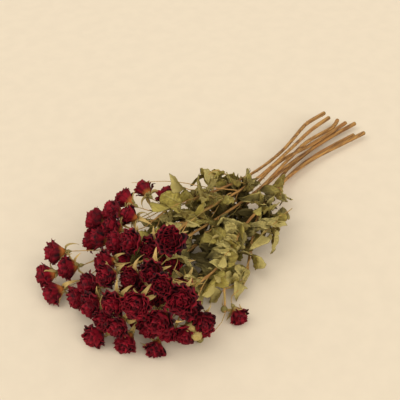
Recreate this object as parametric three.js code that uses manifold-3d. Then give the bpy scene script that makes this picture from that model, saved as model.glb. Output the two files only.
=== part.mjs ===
// A bunch of dried spray roses, lying on its side: eight woody stems that cross at a waist and fan
// out, thirty-nine blooms on stalks that fork off the stems, and thirteen compound leaves.
// Millimetres. +X runs from the cut ends to the blooms, +Z is up, and the origin is the centre of
// the bunch's footprint, on the surface that it lies on.
import * as THREE from "three";
import { mergeVertices } from "three/addons/utils/BufferGeometryUtils.js";
import Module from "manifold-3d";

const wasm = await Module();
wasm.setup();

// ---------------------------------------------------------------- driving dimensions
const BUNCH_LENGTH = 545; // cut ends to the furthest bloom
const BUNCH_WIDTH = 205; // across the fan of blooms
const BUNCH_HEIGHT = 98; // surface to the top of the highest bloom

const BUTT_R = 2.6; // stem radius at its cut end
const CROWN_R = 1.5; // stem radius where its last stalks leave it
const STALK_R = 0.9; // flower stalk radius where it leaves the stem
const STALK_TIP_R = 0.7; // flower stalk radius under the bloom
const TWIG_TIP_R = 0.5; // radius at the end of a bare side shoot
const BUD_R = 3.6; // radius of a closed bud, which has dried fast to its stalk

const BLOOM_FULLNESS = 1; // scales every bloom's diameter
const HIP_R = 2.9; // swelling under the petals
const HIP_LENGTH = 6; // stalk to the foot of the petals

const LEAF_LENGTH = 72; // compound leaf, stem to the tip of its end leaflet
const LEAFLET_LENGTH = 27;
const LEAFLET_WIDTH = 18;
const LEAFLET_THICKNESS = 0.8;
const RACHIS_R = 0.7; // the leaf's own stalk, which carries its leaflets
const LEAFLET_DROOP = 0.75; // radians that side leaflets fold down about the leaf's stalk

const GAP = 0.3; // clearance between separate pieces
const ROUTE_CLEARANCE = 0.9; // kept between stems, and between a stem and a bloom, while they settle

// ---------------------------------------------------------------- layout
// Drawn for a bunch of this size, and stretched to the dimensions above.
const DRAWN = { length: 545, width: 205, height: 98 };

// route: the stem from its cut end to its crown.
// blooms: [x, y, z, diameter, how far along the stem its stalk leaves, from 0 to 1].
// shoots: bare side shoots, {leaves, through, bud}, where bud is true if one ends in a closed bud.
const STEMS = [
  {
    route: [[-259, -61, 20], [-212, -60, 24], [-190, -54, 27], [-126, -36, 34], [-62, -24, 44],
      [-8, -18, 56], [36, -18, 66], [69, -29, 66], [100, -46, 62]],
    blooms: [[147, -79, 64, 23, 1], [158, -95, 50, 27, 0.94], [116, -90, 60, 22, 0.84],
      [84, -90, 55, 17, 0.78], [164, -65, 58, 23, 0.97], [139, -58, 66, 17, 0.97]],
    shoots: [{ leaves: 0.72, through: [[8, -31, 72], [14, -36, 77], [31, -38, 71]] }],
  },
  {
    route: [[-257, -51, 17], [-224, -50, 19], [-197, -46, 22], [-120, -26, 37], [-30, -8, 50], [22, -3, 58],
      [60, -1, 66], [95, 0, 68]],
    blooms: [[154, 21, 84, 27, 1], [165, -2, 68, 18, 1], [173, -18, 70, 24, 0.95], [175, -41, 58, 25, 0.9],
      [81, -52, 62, 24, 0.82]],
    shoots: [{ leaves: 0.78, through: [[44, -25, 70], [60, -62, 70], [90, -108, 62]] }],
  },
  {
    route: [[-270, 3, 8], [-221, -5, 8], [-163, -12, 10], [-106, -8, 15], [-51, 8, 28], [7, 27, 42],
      [42, 35, 44], [80, 47, 44], [112, 56, 40], [150, 62, 46]],
    blooms: [[204, 81, 72, 27, 1], [211, 67, 86, 18, 1], [238, 53, 72, 26, 0.97], [192, 84, 52, 21, 1],
      [190, 93, 38, 21, 0.97]],
    shoots: [{ leaves: 0.89, through: [[126, 74, 24], [140, 87, 12]], bud: true },
      { leaves: 0.89, through: [[130, 80, 20], [150, 94, 9], [167, 95, 7], [187, 92, 10]], bud: true }],
  },
  {
    route: [[-269, -29, 12], [-190, -30, 16], [-112, -31, 24], [0, -12, 33], [92, -28, 42], [150, -50, 40]],
    blooms: [[219, -102, 36, 23, 1], [222, -76, 30, 22, 1], [241, -94, 20, 23, 0.97],
      [248, -74, 12, 23, 0.97], [175, -68, 42, 23, 0.94]],
    shoots: [],
  },
  {
    route: [[-267, -42, 12], [-242, -34, 14], [-183, -34, 20], [-116, -21, 28], [-30, -2, 38], [60, 5, 48],
      [130, 4, 54]],
    blooms: [[201, -34, 50, 22, 0.97], [225, -4, 66, 21, 1], [233, -25, 42, 24, 1], [207, 14, 62, 19, 0.97],
      [203, 42, 84, 21, 0.9]],
    shoots: [],
  },
  {
    route: [[-282, -21, 8], [-231, -27, 8], [-172, -27, 11], [-110, -22, 17], [24, -3, 22], [140, 5, 28]],
    blooms: [[242, -38, 24, 22, 1], [246, -8, 36, 24, 1], [250, 12, 32, 20, 0.97], [243, 24, 56, 23, 0.92],
      [261, 10, 12, 22, 1]],
    shoots: [],
  },
  {
    route: [[-262, -9, 2.6], [-222, -15, 3], [-172, -19, 4], [-105, -13, 8], [-20, 8, 12], [60, 30, 18],
      [120, 48, 22], [155, 58, 24]],
    blooms: [[252, 38, 40, 21, 1], [246, 42, 14, 21, 1], [227, 74, 54, 25, 0.95], [228, 68, 10, 16, 1],
      [214, 72, 28, 19, 0.97], [180, 90, 14, 20, 0.95], [200, 88, 26, 21, 1]],
    shoots: [],
  },
  {
    route: [[-250, -37, 2.6], [-185, -32, 4], [-118, -24, 8], [-51, 2, 20], [-6, 20, 32], [26, 37, 32],
      [55, 54, 22], [89, 76, 13]],
    blooms: [[133, 101, 10, 16, 1]],
    shoots: [{ leaves: 0.8, through: [[14, 46, 38], [-8, 50, 36], [-35, 48, 31]] }],
  },
];

// leaves: [stem number, how far along it, side of the stem in degrees from straight up towards +Y].
const LEAVES = [
  [1, 0.66, -70], [1, 0.8, -40], [1, 0.87, 60],
  [2, 0.64, 10], [2, 0.8, -10], [2, 0.93, 50],
  [3, 0.45, 80], [3, 0.6, 30], [3, 0.74, -50],
  [4, 0.78, -80], [5, 0.82, 20], [7, 0.76, 70], [8, 0.64, 80],
];

// ---------------------------------------------------------------- vectors and curves
const add = (a, b, share = 1) => [a[0] + b[0] * share, a[1] + b[1] * share, a[2] + b[2] * share];
const minus = (a, b) => add(a, b, -1);
const dot = (a, b) => a[0] * b[0] + a[1] * b[1] + a[2] * b[2];
const length = (a) => Math.sqrt(dot(a, a));
const unit = (a) => a.map((c) => c / (length(a) || 1));
const vector = (a) => new THREE.Vector3(...a);
const mix = (a, b, share) => a + (b - a) * share;
const clamp01 = (t) => Math.min(1, Math.max(0, t));

/** A point of the layout, stretched to the bunch's own dimensions. */
const placed = ([x, y, z]) => [
  (x * BUNCH_LENGTH) / DRAWN.length,
  (y * BUNCH_WIDTH) / DRAWN.width,
  (z * BUNCH_HEIGHT) / DRAWN.height,
];

const curveThrough = (points) => new THREE.CatmullRomCurve3(points.map(vector), false, "centripetal");
const along = (curve, t) => curve.getPointAt(t).toArray();
const headingAt = (curve, t) => curve.getTangentAt(t).toArray();

// ---------------------------------------------------------------- beads
// Every stem and stalk is a chain of beads, and every bloom is one large bead at the end of its stalk.
// Chains and blooms are moved apart until nothing touches, and stay as near their drawn places as
// they can.
const BEAD_SPACING = 22;

const bead = (point, r) => ({ p: [...point], home: [...point], r });

/** A chain of beads along a curve, thinning from one radius to the other. */
function chain(curve, fromR, toR, stem) {
  const count = Math.max(4, Math.round(curve.getLength() / BEAD_SPACING));
  const beads = [];
  for (let i = 0; i <= count; i++) {
    beads.push(bead(along(curve, i / count), mix(fromR, toR, i / count)));
  }
  return { beads, stem };
}

/** The bead of a chain nearest to a share of its length. */
const beadAt = (rod, share) => rod.beads[Math.round(share * (rod.beads.length - 1))];

/** Blooms turn outwards from the heart of the bunch's head. */
const HEART = placed([95, -5, 30]);
const MOST_DOWN = -0.25;

function facing(centre) {
  const out = unit(minus(centre, HEART));
  return unit([out[0], out[1], Math.max(MOST_DOWN, out[2])]);
}

/** A stalk that leaves its stem along the stem, and comes into a bloom along the bloom's axis. */
function stalkCurve(rod, share, foot, direction) {
  const index = Math.round(share * (rod.beads.length - 1));
  const from = rod.beads[index].p;
  const before = rod.beads[Math.max(0, index - 1)].p;
  const reach = length(minus(foot, from)) * 0.35;
  const heading = unit(minus(from, before));
  return new THREE.CubicBezierCurve3(
    vector(from),
    vector(add(from, index ? heading : direction, reach)),
    vector(add(foot, direction, -reach)),
    vector(foot),
  );
}

function layOut() {
  const rods = [];
  const blooms = [];
  STEMS.forEach((plan, i) => {
    const stem = i + 1;
    const main = chain(curveThrough(plan.route.map(placed)), BUTT_R, CROWN_R, stem);
    main.isMain = true;
    rods.push(main);
    for (const [x, y, z, diameter, share] of plan.blooms) {
      const r = (diameter / 2) * BLOOM_FULLNESS;
      const centre = placed([x, y, z]);
      centre[2] = Math.max(centre[2], r);
      const direction = facing(centre);
      const foot = add(centre, direction, -(HIP_LENGTH + r));
      foot[2] = Math.max(foot[2], HIP_R);
      const stalk = chain(stalkCurve(main, share, foot, direction), STALK_R, STALK_TIP_R, stem);
      stalk.beads[0] = beadAt(main, share);
      rods.push(stalk);
      blooms.push({ r, centre: bead(centre, r), foot: stalk.beads.at(-1), stalk, stem });
    }
    for (const { leaves, through, bud } of plan.shoots) {
      const from = beadAt(main, leaves);
      const shoot = chain(curveThrough([from.p, ...through.map(placed)]), STALK_R, TWIG_TIP_R, stem);
      shoot.beads[0] = from;
      shoot.bud = bud;
      rods.push(shoot);
    }
  });
  return { rods, blooms };
}

/** How far along each of two segments their closest points lie. */
function closest(a0, a1, b0, b1) {
  const u = minus(a1, a0);
  const v = minus(b1, b0);
  const w = minus(a0, b0);
  const [uu, uv, vv, uw, vw] = [dot(u, u), dot(u, v), dot(v, v), dot(u, w), dot(v, w)];
  const spread = uu * vv - uv * uv;
  let s = spread > 1e-9 ? clamp01((uv * vw - vv * uw) / spread) : 0;
  const t = vv > 1e-9 ? clamp01((uv * s + vw) / vv) : 0;
  s = uu > 1e-9 ? clamp01((uv * t - uw) / uu) : 0;
  return [s, t];
}

/** Moves two links apart if they are nearer than their radii and the clearance allow. */
function separate(one, other) {
  const [s, t] = closest(one.a.p, one.b.p, other.a.p, other.b.p);
  const onOne = add(one.a.p, minus(one.b.p, one.a.p), s);
  const onOther = add(other.a.p, minus(other.b.p, other.a.p), t);
  const apart = minus(onOne, onOther);
  const distance = length(apart);
  const wanted = mix(one.ra, one.rb, s) + mix(other.ra, other.rb, t) + ROUTE_CLEARANCE;
  if (distance >= wanted) return;
  const push = distance > 1e-6 ? apart.map((c) => c / distance) : [0, 0, 1];
  const step = ((wanted - distance) / 2) * GIVE;
  one.a.p = add(one.a.p, push, step * (1 - s));
  one.b.p = add(one.b.p, push, step * s);
  other.a.p = add(other.a.p, push, -step * (1 - t));
  other.b.p = add(other.b.p, push, -step * t);
}

/** The links that have to keep clear of each other, two by two. */
function clearPairs(links, reach) {
  const pairs = [];
  for (let i = 0; i < links.length; i++) {
    for (let j = i + 1; j < links.length; j++) {
      const [one, other] = [links[i], links[j]];
      const oneSolid = one.stem === other.stem && !one.bloom && !other.bloom;
      const joined = one.bloom && one.bloom === other.bloom;
      const onItsStalk = one.bloom && one.bloom.foot === other.b;
      const carriesIt = other.bloom && other.bloom.foot === one.b;
      if (oneSolid || joined || onItsStalk || carriesIt) continue;
      const middleToMiddle = length(minus(add(one.a.p, one.b.p), add(other.a.p, other.b.p))) / 2;
      if (middleToMiddle < one.size + other.size + reach) pairs.push([one, other]);
    }
  }
  return pairs;
}

const SETTLE_ROUNDS = 400;
const REPAIR_EVERY = 20; // rounds between two searches for near links
const PAIR_REACH = 12;
const HOMEWARD = 0.03; // share of the way home that a bead goes back in each round
const EVENING = 0.12; // how strongly a chain straightens out its kinks
const GIVE = 1.05; // a little more than its half of a clash, so that links end up clear

function settle({ rods, blooms }) {
  const links = [];
  const linkOf = (a, b, ra, rb, more) => ({
    a, b, ra, rb, size: length(minus(a.p, b.p)) / 2 + Math.max(ra, rb), ...more,
  });
  for (const rod of rods) {
    for (let i = 1; i < rod.beads.length; i++) {
      const [a, b] = [rod.beads[i - 1], rod.beads[i]];
      const end = rod.bud && i === rod.beads.length - 1 ? BUD_R : b.r;
      links.push(linkOf(a, b, Math.min(a.r, rod.beads[1].r), end, { stem: rod.stem }));
    }
  }
  for (const bloom of blooms) {
    const { centre, foot, r, stem } = bloom;
    links.push(linkOf(centre, centre, r, r, { stem, bloom }));
    links.push(linkOf(foot, centre, HIP_R, HIP_R, { stem, bloom }));
  }
  let pairs = [];
  for (let round = 0; round < SETTLE_ROUNDS; round++) {
    if (round % REPAIR_EVERY === 0) pairs = clearPairs(links, PAIR_REACH);
    const hold = round < SETTLE_ROUNDS * 0.8 ? 1 : 0; // the last rounds only clear what still touches
    for (const rod of rods) {
      for (let i = 1; i < rod.beads.length; i++) {
        const here = rod.beads[i];
        here.p = add(here.p, minus(here.home, here.p), HOMEWARD * hold);
        if (i === rod.beads.length - 1) continue;
        const middle = add(rod.beads[i - 1].p, rod.beads[i + 1].p).map((c) => c / 2);
        const middleHome = add(rod.beads[i - 1].home, rod.beads[i + 1].home).map((c) => c / 2);
        const bow = minus(here.home, middleHome);
        here.p = add(here.p, minus(add(middle, bow), here.p), EVENING * hold);
      }
    }
    for (const { centre, foot, r } of blooms) {
      centre.p = add(centre.p, minus(centre.home, centre.p), HOMEWARD * hold);
      const axis = minus(centre.p, foot.p);
      const slack = (length(axis) - (HIP_LENGTH + r)) / 2;
      centre.p = add(centre.p, unit(axis), -slack);
      foot.p = add(foot.p, unit(axis), slack);
    }
    for (const [one, other] of pairs) separate(one, other);
    for (const link of links) {
      link.a.p[2] = Math.max(link.a.p[2], link.ra);
      link.b.p[2] = Math.max(link.b.p[2], link.rb);
    }
  }
  for (const { centre, foot, r } of blooms) {
    foot.p = add(centre.p, unit(minus(foot.p, centre.p)), HIP_LENGTH + r);
  }
}

// ---------------------------------------------------------------- solids
/** A closed geometry as a solid. */
function solid(geometry) {
  const bare = new THREE.BufferGeometry().setAttribute("position", geometry.getAttribute("position"));
  if (geometry.index) bare.setIndex(geometry.index);
  const merged = mergeVertices(bare, 1e-3);
  return new wasm.Manifold(
    new wasm.Mesh({
      numProp: 3,
      vertProperties: new Float32Array(merged.attributes.position.array),
      triVerts: new Uint32Array(merged.index.array),
    }),
  );
}

/** A solid as a geometry with flat-shaded normals. */
function geometryOf(body) {
  const mesh = body.getMesh();
  const geometry = new THREE.BufferGeometry();
  geometry.setAttribute("position", new THREE.BufferAttribute(new Float32Array(mesh.vertProperties), 3));
  geometry.setIndex(new THREE.BufferAttribute(new Uint32Array(mesh.triVerts), 1));
  geometry.computeVertexNormals();
  return geometry;
}

const polygon = (sides, r) => {
  const corners = [];
  for (let i = 0; i < sides; i++) {
    const turn = (2 * Math.PI * i) / sides;
    corners.push(new THREE.Vector2(r * Math.cos(turn), r * Math.sin(turn)));
  }
  return new THREE.Shape(corners);
};

/** A rod along a curve, whose radius follows the given rule of its length from 0 to 1. */
function taperedRod(curve, radius, sides, steps) {
  const sweep = { steps, bevelEnabled: false, extrudePath: curve };
  const geometry = new THREE.ExtrudeGeometry(polygon(sides, 1), sweep);
  const rings = curve.getSpacedPoints(steps);
  const position = geometry.getAttribute("position");
  const corner = new THREE.Vector3();
  for (let i = 0; i < position.count; i++) {
    corner.fromBufferAttribute(position, i);
    let nearest = 0;
    for (let j = 1; j <= steps; j++) {
      if (corner.distanceTo(rings[j]) < corner.distanceTo(rings[nearest])) nearest = j;
    }
    corner.sub(rings[nearest]).multiplyScalar(radius(nearest / steps)).add(rings[nearest]);
    position.setXYZ(i, corner.x, corner.y, corner.z);
  }
  return solid(geometry);
}

const STEPS_PER_BEAD = 1.7; // straight lengths that a rod has for each bead of its chain
const STEM_SIDES = 6;
const STALK_SIDES = 5;
const BLOOM_SIDES = 8;
const RACHIS_SIDES = 4;

/** A solid without the pockets that parts which cross one another can seal off inside it. */
function filled(body) {
  const shells = body.decompose().filter((shell) => shell.volume() > 0);
  return wasm.Manifold.compose(shells);
}

/** One stem with its stalks and bare shoots, which grew as one piece. */
function stemSolid(rods) {
  let body = null;
  for (const rod of rods) {
    const points = rod.beads.map((b) => b.p);
    const curve = curveThrough(points);
    const [thick, thin] = rod.isMain ? [BUTT_R, CROWN_R] : [STALK_R, rod.beads.at(-1).r];
    const steps = Math.round((points.length - 1) * STEPS_PER_BEAD);
    const made = taperedRod(curve, (t) => mix(thick, thin, t), rod.isMain ? STEM_SIDES : STALK_SIDES, steps);
    body = body ? body.add(made) : made;
    if (rod.bud) {
      const bud = new THREE.IcosahedronGeometry(BUD_R, 1).translate(...points.at(-1));
      body = body.add(solid(bud));
    }
  }
  return filled(body);
}

/** A bloom about +Z with its foot at the origin: hip, cup of petals and a low crown. */
function bloomGeometry(r) {
  const petals = HIP_LENGTH; // height at which the petals begin
  const outline = [
    [0, 0],
    [HIP_R, HIP_LENGTH * 0.4],
    [HIP_R * 1.2, petals],
    [r * 0.82, petals + r * 0.45],
    [r * 0.985, petals + r],
    [r * 0.8, petals + r * 1.55],
    [r * 0.35, petals + r * 1.85],
    [0, petals + r * 1.8],
  ];
  const profile = outline.map(([x, y]) => new THREE.Vector2(x, y));
  return new THREE.LatheGeometry(profile, BLOOM_SIDES).rotateX(Math.PI / 2);
}

/** A leaflet about +X with its foot at the origin, pointed at both ends. */
function leafletGeometry() {
  const half = LEAFLET_WIDTH / 2;
  const outline = new THREE.Shape();
  outline.moveTo(0, 0);
  outline.lineTo(LEAFLET_LENGTH * 0.42, half);
  outline.lineTo(LEAFLET_LENGTH, 0);
  outline.lineTo(LEAFLET_LENGTH * 0.42, -half);
  outline.closePath();
  return new THREE.ExtrudeGeometry(outline, { depth: LEAFLET_THICKNESS, bevelEnabled: false }).translate(
    0, 0, -LEAFLET_THICKNESS / 2,
  );
}

/** A compound leaf along +X with its foot at the origin and its upper face towards +Z. */
function leafSolid() {
  const stalkEnd = LEAF_LENGTH - LEAFLET_LENGTH;
  const sag = LEAF_LENGTH * 0.06;
  const rachis = curveThrough([[0, 0, 0], [stalkEnd * 0.5, 0, sag], [stalkEnd + 2, 0, 0]]);
  let body = taperedRod(rachis, (t) => mix(RACHIS_R, RACHIS_R * 0.8, t), RACHIS_SIDES, 2);
  const leaflet = solid(leafletGeometry());
  const degrees = (radians) => (radians * 180) / Math.PI;
  body = body.add(leaflet.rotate([0, 12, 0]).translate([stalkEnd, 0, 0]));
  for (const share of [0.42, 0.86]) {
    for (const side of [-1, 1]) {
      const foot = along(rachis, share);
      const swung = leaflet.rotate([0, 0, side * 42]).rotate([-side * degrees(LEAFLET_DROOP), 0, 0]);
      body = body.add(swung.translate(foot));
    }
  }
  return filled(body);
}

// ---------------------------------------------------------------- leaves find their places
/** The rotation that takes +X to a heading and +Z as near as it can to up, turned about the heading. */
function turnTo(heading, up, roll) {
  const x = vector(heading).normalize();
  const z = vector(up).addScaledVector(x, -vector(up).dot(x)).normalize();
  const y = new THREE.Vector3().crossVectors(z, x);
  return new THREE.Matrix4().makeBasis(x, y, z).multiply(new THREE.Matrix4().makeRotationX(roll));
}

const boxesMeet = (a, b) => [0, 1, 2].every((k) => a.min[k] < b.max[k] && b.min[k] < a.max[k]);

/** Whether a body is clear of all the others and of the surface below. */
function isClear(body, others) {
  const box = body.boundingBox();
  if (box.min[2] < GAP) return false;
  const near = others.filter((other) => boxesMeet(box, other.box));
  return near.every((other) => body.intersect(other.body).volume() < 1e-6);
}

const LIFTS = [0.35, 0.7, 1.05, 1.4]; // radians that a leaf stands off its stem
const SWINGS = [0, 0.5, -0.5, 1, -1, 1.6, -1.6, 2.3, -2.3, 3]; // radians tried about the stem
const ROLLS = [0, 0.7, -0.7, 1.5, -1.5, 3]; // radians tried about the leaf's own length
const SLIDES = [0, 0.02, -0.02, 0.04, -0.04, 0.06, -0.06]; // shares of the stem's length

/** Places one leaf on its stem, at the first of its poses that touches nothing. */
function placeLeaf(leaf, mains, [stem, share, degrees], others) {
  const curve = curveThrough(mains[stem - 1].beads.map((b) => b.p));
  for (const slide of SLIDES) {
    const t = clamp01(share + slide);
    const [at, heading] = [along(curve, t), headingAt(curve, t)];
    const up = unit(minus([0, 0, 1], heading.map((c) => c * heading[2])));
    const side = new THREE.Vector3().crossVectors(vector(up), vector(heading)).toArray();
    for (const lift of LIFTS) {
      for (const swing of SWINGS) {
        const about = (degrees * Math.PI) / 180 + swing;
        const out = add(up.map((c) => c * Math.cos(about)), side, Math.sin(about));
        const foot = add(at, out, mix(BUTT_R, CROWN_R, t) + GAP + RACHIS_R);
        const course = add(heading.map((c) => c * Math.cos(lift)), out, Math.sin(lift));
        for (const roll of ROLLS) {
          const matrix = turnTo(course, out, roll).setPosition(...foot);
          const body = leaf.transform(matrix.toArray());
          if (isClear(body, others)) return { body, matrix };
        }
      }
    }
  }
  throw new Error(`leaf on stem ${stem} at ${share} finds no free place`);
}

// ---------------------------------------------------------------- materials
const bark = new THREE.MeshStandardMaterial({ color: 0x8a5f38, roughness: 0.85, metalness: 0 });
const petal = new THREE.MeshStandardMaterial({ color: 0x6e1020, roughness: 0.8, metalness: 0 });
const leafGreen = new THREE.MeshStandardMaterial({ color: 0x86854f, roughness: 0.85, metalness: 0 });

// ---------------------------------------------------------------- assembly
const bunch = new THREE.Group();
const layout = layOut();
settle(layout);

const number = (n) => String(n).padStart(2, "0");
const taken = []; // bodies that the leaves have to keep clear of

function take(body) {
  taken.push({ body, box: body.boundingBox() });
}

for (const stem of STEMS.keys()) {
  const body = stemSolid(layout.rods.filter((rod) => rod.stem === stem + 1));
  const mesh = new THREE.Mesh(geometryOf(body), bark);
  mesh.name = `stem_${number(stem + 1)}`;
  bunch.add(mesh);
  take(body);
}

layout.blooms.forEach(({ centre, foot, r }, i) => {
  const axis = unit(minus(centre.p, foot.p));
  const mesh = new THREE.Mesh(bloomGeometry(r), petal);
  mesh.name = `bloom_${number(i + 1)}`;
  mesh.quaternion.setFromUnitVectors(new THREE.Vector3(0, 0, 1), vector(axis));
  mesh.position.set(...add(foot.p, axis, GAP));
  mesh.updateMatrix();
  bunch.add(mesh);
  take(solid(mesh.geometry.clone().applyMatrix4(mesh.matrix)));
});

const leaf = leafSolid();
const mains = layout.rods.filter((rod) => rod.isMain);
LEAVES.forEach((plan, i) => {
  const { body, matrix } = placeLeaf(leaf, mains, plan, taken);
  const mesh = new THREE.Mesh(geometryOf(leaf), leafGreen);
  mesh.name = `leaf_${number(i + 1)}`;
  mesh.applyMatrix4(matrix);
  bunch.add(mesh);
  take(body);
});

// The footprint's centre, on the surface, is the origin.
const box = new THREE.Box3().setFromObject(bunch, true);
bunch.position.set(-(box.min.x + box.max.x) / 2, -(box.min.y + box.max.y) / 2, -box.min.z);

export default bunch;
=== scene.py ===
"""A lying bunch of dried spray roses: petals, sepals, leaves and bark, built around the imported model."""

import math
import random

import bmesh
import bpy
import numpy as np
from mathutils import Matrix, Vector
from mathutils.bvhtree import BVHTree


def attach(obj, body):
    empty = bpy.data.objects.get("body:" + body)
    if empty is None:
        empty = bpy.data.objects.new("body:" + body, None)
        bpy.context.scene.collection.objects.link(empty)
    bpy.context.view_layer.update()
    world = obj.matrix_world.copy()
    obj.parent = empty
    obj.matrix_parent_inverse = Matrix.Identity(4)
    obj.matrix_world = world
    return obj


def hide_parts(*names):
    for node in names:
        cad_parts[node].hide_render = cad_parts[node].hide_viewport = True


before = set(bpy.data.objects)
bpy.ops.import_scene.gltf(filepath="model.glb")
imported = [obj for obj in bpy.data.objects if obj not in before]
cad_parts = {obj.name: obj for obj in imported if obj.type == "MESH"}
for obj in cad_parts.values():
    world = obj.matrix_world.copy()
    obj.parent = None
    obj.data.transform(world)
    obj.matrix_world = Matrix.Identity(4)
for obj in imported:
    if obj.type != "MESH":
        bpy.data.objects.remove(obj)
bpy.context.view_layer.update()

bl_info = {
    "name": "Dried rose bunch",
    "version": (1, 0, 0),
    "blender": (4, 5, 0),
    "location": "View3D > Sidebar > Dried roses",
    "description": "Builds the finished surface of a bunch of dried spray roses around its packed model",
    "category": "Object",
}

MM = 0.001
SAME_PLACE = 0.001 * MM  # points nearer than this are one point
YOUNG_GIRTH = 1.5 * MM  # the girth up to which bark is still green or tan
WOODY_GIRTH = 3.6 * MM
ROOT = "root"


def named(start):
    """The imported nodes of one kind, in order."""
    return sorted(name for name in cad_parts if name.startswith(start))


STEMS = named("stem_")
BLOOMS = named("bloom_")
LEAVES = named("leaf_")


def srgb(red, green, blue):
    """A linear RGBA colour from the 0 to 255 numbers that a paint card gives."""
    parts = [channel / 255 for channel in (red, green, blue)]
    return [p / 12.92 if p <= 0.04045 else ((p + 0.055) / 1.055) ** 2.4 for p in parts] + [1.0]


# ---------------------------------------------------------------- arithmetic in node trees


class Field:
    """A number inside a node tree. Its operators add Math nodes, so a rule is written as arithmetic."""

    def __init__(self, tree, socket):
        self.tree = tree
        self.socket = socket

    def math(self, operation, *others):
        node = self.tree.nodes.new("ShaderNodeMath")
        node.operation = operation
        for socket, value in zip(node.inputs, (self, *others)):
            connect(self.tree, value, socket)
        return Field(self.tree, node.outputs[0])

    def __add__(self, other):
        return self.math("ADD", other)

    def __sub__(self, other):
        return self.math("SUBTRACT", other)

    def __mul__(self, other):
        return self.math("MULTIPLY", other)

    def __truediv__(self, other):
        return self.math("DIVIDE", other)

    def __pow__(self, other):
        return self.math("POWER", other)

    def __rsub__(self, other):
        return self * -1 + other

    __radd__ = __add__
    __rmul__ = __mul__

    def sin(self):
        return self.math("SINE")

    def cos(self):
        return self.math("COSINE")

    def size(self):
        return self.math("ABSOLUTE")

    def at_most(self, other):
        return self.math("MINIMUM", other)

    def at_least(self, other):
        return self.math("MAXIMUM", other)

    def share(self):
        """Kept between 0 and 1."""
        return self.at_least(0.0).at_most(1.0)

    def step(self, low, high):
        """0 below low, 1 above high, and smooth between them."""
        node = self.tree.nodes.new("ShaderNodeMapRange")
        node.interpolation_type = "SMOOTHSTEP"
        connect(self.tree, self, node.inputs["Value"])
        connect(self.tree, low, node.inputs["From Min"])
        connect(self.tree, high, node.inputs["From Max"])
        return Field(self.tree, node.outputs["Result"])


def connect(tree, value, socket):
    """Links a field or an output socket to a socket, or sets the socket to a plain value."""
    if isinstance(value, Field):
        tree.links.new(value.socket, socket)
    elif isinstance(value, bpy.types.NodeSocket):
        tree.links.new(value, socket)
    else:
        socket.default_value = value


def add_node(tree, kind, settings=None, **inputs):
    """Adds a node. settings are its properties, and inputs its sockets, by name with _ for a space."""
    node = tree.nodes.new(kind)
    for key, value in (settings or {}).items():
        setattr(node, key, value)
    for key, value in inputs.items():
        name = key.replace("_", " ")
        socket = next(s for s in node.inputs if s.name == name and s.enabled)
        connect(tree, value, socket)
    return node


# ---------------------------------------------------------------- geometry node trees

SOCKET_KINDS = {
    float: "NodeSocketFloat",
    int: "NodeSocketInt",
    "geometry": "NodeSocketGeometry",
    "material": "NodeSocketMaterial",
}


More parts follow.
